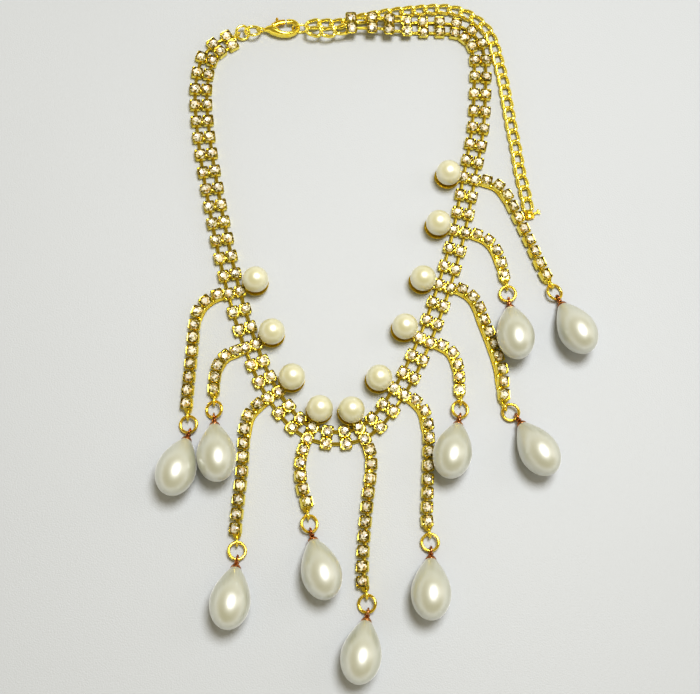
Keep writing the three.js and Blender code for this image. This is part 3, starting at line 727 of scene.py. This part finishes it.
def add_casting(gold, row, layout):
    """The cast bar from the saucer: under the collar, then along the inner side of the bend."""
    path, first = layout["path"], layout["spots"][0]
    start, stop = CASTING["start"], first + row.get("edge", CASTING["cups"]) * layout["cup_pitch"]
    leaves, arrives = direction(path.heading(0.5)), direction(path.heading(path.length - 1))
    inner = 1.0 if leaves.cross(arrives).z > 0 else -1.0
    points, sizes = [], []
    for k in range(CASTING["steps"] + 1):
        distance = start + (stop - start) * k / CASTING["steps"]
        out = min(1.0, max(0.0, (distance - PEARL["reach"]) / (first - PEARL["reach"])))
        fade = min(1.0, (stop - distance) / CASTING["fade"])
        aside = away(path.at(distance), path.heading(distance) + 90, CASTING["aside"] * out * inner)
        points.append(above(aside, CASTING["height"]))
        wide = CASTING["half_width"] - CASTING["narrower"] * out
        wide *= CASTING["tip_width"] + (1 - CASTING["tip_width"]) * fade
        high = CASTING["half_height"] * (CASTING["tip_height"] + (1 - CASTING["tip_height"]) * fade)
        sizes.append((wide, high))
    gold.add(tube(points, sizes, SIDES["casting"]))


def connector():
    """A strip folded round the end of the chain, open along its top, narrower at the eye."""
    sheet, slit = CONNECTOR_SHEET, CONNECTOR_SLIT

    def section(x, wide, tall):
        outline = [
            (-wide, 0), (wide, 0), (wide, tall), (slit, tall), (slit, tall - sheet),
            (wide - sheet, tall - sheet), (wide - sheet, sheet), (sheet - wide, sheet),
            (sheet - wide, tall - sheet), (-slit, tall - sheet), (-slit, tall), (-wide, tall),
        ]
        return [Vector((x, y, z)) for y, z in outline]

    return loft([section(*station) for station in CONNECTOR])


def build_strand(row, number, layout):
    path, spots = layout["path"], layout["spots"]
    gold, stones, cast = Skin(), Skin(), Skin()
    cast.add(lathe(SAUCER, SIDES["saucer"]), placing(layout["dish"]))
    add_casting(cast, row, layout)
    low, high = row["roll"]
    for k, distance in enumerate(spots):
        roll = low + (high - low) * k / (row["cups"] - 1)
        add_cup(gold, stones, path.at(distance), path.heading(distance), roll)
    for start, stop in zip([layout["crossing"], *spots], [*spots, path.length]):
        add_bar(gold, path.at(start), path.at(stop), **WIRE_LINK)
    cast.add(connector(), placing(layout["end"], row["end"]))
    cast.add(eye_shape(), placing(above(layout["eye"], EYE["height"]), (row["end"] + row["ring"]) / 2))
    gold.make(f"strand_{number}_cups", GOLD, "gold", replaces=[f"strand_{number}"])
    stones.make(f"strand_{number}_stones", CRYSTAL, "gold", sharp=5.0)
    cast.make(f"strand_{number}_casting", CAST_GOLD, "gold", sharp=45.0)


# ---- Pearls and drops ----------------------------------------------------------------------------
def pearl_shape():
    radius, rows = PEARL["radius"], ROWS["pearl"]
    angles = [math.pi * k / rows for k in range(rows + 1)]
    profile = [(max(POLE, radius * math.sin(t)), -radius * math.cos(t)) for t in angles]
    return lathe(profile, SIDES["pearl"])


def drop_radius(along):
    """The radius of a drop at a part of its length from its tip."""
    if along < DROP["widest"]:
        narrow = (1 - along / DROP["widest"]) ** DROP_SWELL
        return DROP["radius"] * (1 - (1 - DROP["tip"]) * narrow)
    past = (along - DROP["widest"]) / (1 - DROP["widest"])
    return DROP["radius"] * math.sqrt(max(0.0, 1 - past * past))


def turned_along_x(profile, sides):
    """A turned shape with its axis laid along +X."""
    points, faces = lathe(profile, sides)
    lay = Matrix.Rotation(math.radians(90), 4, "Y")
    return [lay @ p for p in points], faces


def drop_shape():
    """A drop along +X from its eye. Its rows lie closer together near both ends."""
    profile = [(POLE, DROP["start"])]
    for k in range(ROWS["drop"] + 1):
        along = (1 - math.cos(math.pi * k / ROWS["drop"])) / 2
        profile.append((max(POLE, drop_radius(along)), DROP["start"] + along * DROP["length"]))
    return turned_along_x(profile, SIDES["drop"])


def wire_ring(radius):
    path = [Vector((radius * math.cos(t), radius * math.sin(t), 0)) for t in turns(SIDES["ring"])]
    return tube(path, RING["wire"], SIDES["ring_wire"], closed=True)


def build_drop(row, number, layout):
    """The round pearl of a strand, and the jump ring, the cap and the drop at its end."""
    skin = Skin()
    pose = (PEARL_POSE["turn_each"] * number, PEARL_POSE["pitch"], PEARL_POSE["roll"])
    skin.add(pearl_shape(), placing(above(layout["dish"], PEARL["height"]), *pose))
    skin.make(f"pearl_{number}_surface", ROUND_PEARL, "pearl", replaces=[f"pearl_{number}"], sharp=80)
    ring = Skin()
    centre = above(away(layout["eye"], row["ring"], RING["radius"]), EYE["height"])
    ring.add(wire_ring(RING["radius"]), placing(centre, row["ring"], 0, row["ring_roll"]), RING_TINT)
    ring.make(f"drop_ring_{number}_wire", GOLD, "gold", replaces=[f"drop_ring_{number}"], sharp=60)
    lay = placing(above(layout["drop_eye"], EYE["height"]), row["drop"], DROP["tilt"])
    cap = Skin()
    cap.add(turned_along_x(CAP, SIDES["cap"]), lay)
    cap.add(eye_shape(), lay)
    cap.make(f"drop_cap_{number}_bell", ROSE, "rose_gold", replaces=[f"drop_cap_{number}"], sharp=50)
    drop = Skin()
    drop.add(drop_shape(), lay)
    drop.make(f"drop_{number}_surface", DROP_PEARL, "pearl", replaces=[f"drop_{number}"], sharp=80)


# ---- The clasp -----------------------------------------------------------------------------------
def clasp_layout():
    """The centres of the clasp's two rings, and the place of its eye."""
    ring_a, ring_b = CLASP_RINGS
    lug = away(collar_point(1), LUG["degrees"], LUG["reach"])
    centre_a = away(lug, ring_a["degrees"], ring_a["radius"])
    through = away(lug, ring_a["degrees"], 2 * ring_a["radius"] - RINGS_OVERLAP)
    centre_b = away(through, ring_b["degrees"], ring_b["radius"])
    eye = away(through, ring_b["degrees"], 2 * ring_b["radius"])
    return [centre_a, centre_b], eye


def limb(stations):
    """A smooth limb in the level plane. Each station is x, y, half its breadth, half its height."""
    rows = np.array(stations, float)
    smooth = []
    for spot in np.linspace(0, len(rows) - 1, (len(rows) - 1) * LIMB_STEPS + 1):
        k = min(int(spot), len(rows) - 2)
        a, b = rows[max(k - 1, 0)], rows[k]
        c, d = rows[k + 1], rows[min(k + 2, len(rows) - 1)]
        smooth.append(hermite(b, c, (c - a) / 2, (d - b) / 2, spot - k))
    path = [Vector((x, y, 0)) for x, y, _, _ in smooth]
    return tube(path, [(float(wide), float(high)) for _, _, wide, high in smooth], SIDES["limb"])


def build_clasp():
    centres, eye = clasp_layout()
    for look, centre in zip(CLASP_RINGS, centres):
        ring = Skin()
        lay = placing(above(centre, LINK_HEIGHT), look["degrees"], 0, look["roll"])
        ring.add(wire_ring(look["radius"]), lay)
        ring.make(look["name"] + "_wire", GOLD, "gold", replaces=[look["name"]], sharp=60)
    lay = placing(above(eye, LINK_HEIGHT), CLASP_DEGREES)
    body = Skin()
    body.add(limb(CLASP_BODY), lay)
    body.add(eye_shape(), lay)
    body.add(lathe(RIVET, SIDES["rivet"]), lay @ Matrix.Translation(RIVET_PLACE))
    body.make("clasp_body_surface", CAST_GOLD, "gold", replaces=["clasp_body"], sharp=60)
    lever = Skin()
    lever.add(limb(CLASP_LEVER), lay, LEVER_TINT)
    lever.add(limb(CLASP_NUB), lay, LEVER_TINT)
    lever.make("clasp_lever_surface", CAST_GOLD, "gold", "lever", ["clasp_lever"], sharp=60)


# ---- The extension chain -------------------------------------------------------------------------
def link_shape(length, width, wire, twist):
    """A link: an oval of wire, twisted about its length."""
    bend = width / 2 - wire
    straight = length / 2 - wire - bend
    path = []
    for turn in turns(SIDES["link"]):
        side_part = min(1, abs(LINK_SQUARENESS * math.cos(turn)))
        x = bend * math.cos(turn) + math.copysign(straight, math.cos(turn)) * side_part
        y = bend * math.sin(turn)
        roll = math.radians(twist) * x / (length / 2)
        path.append(Vector((x, y * math.cos(roll), y * math.sin(roll))))
    rings = []
    for k, point in enumerate(path):
        tangent = (path[(k + 1) % len(path)] - path[k - 1]).normalized()
        out = (point - tangent * point.dot(tangent)).normalized()
        top = tangent.cross(out)
        around = turns(SIDES["link_wire"])
        rings.append([point + wire * (math.cos(t) * out + math.sin(t) * top) for t in around])
    return loft(rings, closed=True)


def add_links(gold, route, height, ends):
    """Curb links along a route whose underside is at a height."""
    path = Path(route)
    start, stop_short = ends
    span = path.length - start - stop_short
    count = round(span / CURB["pitch"])
    link = link_shape(CURB["length"], CURB["width"], CURB["wire"], CURB["twist"])
    for k in range(count + 1):
        distance = start + span * k / count
        gold.add(link, placing(above(path.at(distance), height + CURB["height"]), path.heading(distance)))


def end_place(shape):
    """The place of the tab or the stub at the chain's free end."""
    x, y = TAIL_ROUTE[-1]
    aside, back, height = shape["place"]
    return Vector((x + aside, y + back, height))


def build_extension():
    gold = Skin()
    held = link_shape(HELD_LINK["length"], HELD_LINK["width"], HELD_LINK["wire"], 0.0)
    middle = Vector((*HELD_LINK_MIDDLE, LINK_HEIGHT))
    gold.add(held, placing(middle, 0, 0, HELD_LINK["roll"]))
    add_links(gold, RUN_ROUTE, RUN_HEIGHT, RUN_ENDS)
    add_links(gold, TAIL_ROUTE, 0.0, TAIL_ENDS)
    gold.make("extension_chain_links", GOLD, "gold", replaces=["extension_chain"], sharp=60)
    end = Skin()
    end.add(rod(TAB["stations"], SIDES["tab"]), placing(end_place(TAB), TAB["heading"]), TAB_TINT)
    end.add(rod(STUB["stations"], SIDES["stub"]), placing(end_place(STUB), STUB["heading"]))
    root = away(end_place(STUB), STUB["heading"], PRONGS["along"])
    prong = tube([Vector((0, 0, 0)), Vector(PRONGS["tip"])], PRONGS["radii"], SIDES["prong"])
    for heading in PRONGS["headings"]:
        end.add(prong, placing(root, heading))
    end.make("extension_end_tab", CAST_GOLD, "gold", replaces=["extension_end"], sharp=45)


# ---- The scene -----------------------------------------------------------------------------------
# The floor: half its side, and waves and grain in waves a metre.
FLOOR = {
    "half": 1.5, "tones": [(0.502, 0.525, 0.562), (0.52, 0.543, 0.58)], "waves": 6.0, "grain": 2500.0,
    "bump": 0.00006, "rough": 0.5,
}
# Each light is a disc that faces the origin: its place, width, power and colour.
LIGHTS = {
    "key": ((0.115, 0.19, 0.83), 0.38, 5.9, (0.985, 0.995, 1.0)),
    "fill": ((0.7, 0.15, 0.5), 0.5, 0.5, (0.97, 0.98, 1.0)),
}
# The surroundings by height, from the horizon up.
SURROUNDINGS = [
    (0.0, (0.75, 0.75, 0.75)), (0.18, (0.64, 0.64, 0.63)), (0.4, (0.32, 0.28, 0.19)),
    (0.7, (0.19, 0.16, 0.09)),
]
SURROUNDINGS_STRENGTH = 1.55
# The camera looks down from the front, about 17 degrees off the vertical. focal: its focal length in
# sensor widths.
CAMERA = {
    "place": (-35.64, -98.91, 309.0), "right": (0.9965, -0.0234, 0.0797),
    "forward": (0.083, 0.2803, -0.9563), "focal": 12 / 7, "sensor": 36.0, "near": 0.01,
}


def build_floor():
    mesh = bpy.data.meshes.new("floor")
    half = FLOOR["half"]
    corners = [(-half, -half, 0), (half, -half, 0), (half, half, 0), (-half, half, 0)]
    mesh.from_pydata(corners, [], [(0, 1, 2, 3)])
    nodes = Nodes("floor")
    cloud = nodes.tones(nodes.noise(FLOOR["waves"], detail=2.0), FLOOR["tones"])
    nodes.link(cloud, nodes.shader.inputs["Base Color"])
    nodes.set(Roughness=FLOOR["rough"])
    nodes.bump(nodes.noise(FLOOR["grain"], detail=2.0), FLOOR["bump"])
    mesh.materials.append(nodes.material)
    floor = bpy.data.objects.new("floor", mesh)
    bpy.context.scene.collection.objects.link(floor)


def area_light(name, place, size, power, colour):
    light = bpy.data.lights.new(name, "AREA")
    light.shape = "DISK"
    light.size = size
    light.energy = power
    light.color = colour
    lamp = bpy.data.objects.new(name, light)
    lamp.location = place
    lamp.rotation_euler = (-Vector(place)).to_track_quat("-Z", "Y").to_euler()
    bpy.context.scene.collection.objects.link(lamp)


def build_world():
    """A studio: bright all round near the floor, dim and a little olive overhead."""
    world = bpy.data.worlds.new("studio")
    world.use_nodes = True
    bpy.context.scene.world = world
    tree = world.node_tree
    place = tree.nodes.new("ShaderNodeTexCoord").outputs["Generated"]
    split = tree.nodes.new("ShaderNodeSeparateXYZ")
    tree.links.new(place, split.inputs[0])
    ramp = tree.nodes.new("ShaderNodeValToRGB")
    set_stops(ramp, SURROUNDINGS)
    tree.links.new(split.outputs["Z"], ramp.inputs["Fac"])
    tree.links.new(ramp.outputs["Color"], tree.nodes["Background"].inputs["Color"])
    tree.nodes["Background"].inputs["Strength"].default_value = SURROUNDINGS_STRENGTH


def build_camera():
    data = bpy.data.cameras.new("camera")
    data.sensor_width = CAMERA["sensor"]
    data.lens = CAMERA["focal"] * data.sensor_width
    data.clip_start = CAMERA["near"]
    camera = bpy.data.objects.new("camera", data)
    right = Vector(CAMERA["right"]).normalized()
    forward = Vector(CAMERA["forward"]).normalized()
    up = right.cross(forward).normalized()
    right = forward.cross(up)
    matrix = Matrix((right, up, -forward)).transposed().to_4x4()
    matrix.translation = (Vector(CAMERA["place"]) + SHIFT) * MM
    camera.matrix_world = matrix
    bpy.context.scene.collection.objects.link(camera)
    bpy.context.scene.camera = camera


build_camera()
build_floor()
build_world()
for lamp_name, (lamp_place, lamp_size, lamp_power, lamp_colour) in LIGHTS.items():
    area_light(lamp_name, lamp_place, lamp_size, lamp_power, lamp_colour)
bpy.context.scene.view_settings.view_transform = "Standard"
bpy.context.scene.view_settings.look = "Medium High Contrast"
build_collar()
for strand_number, strand in enumerate(STRANDS, 1):
    strand_places = strand_layout(strand)
    build_strand(strand, strand_number, strand_places)
    build_drop(strand, strand_number, strand_places)
build_clasp()
build_extension()
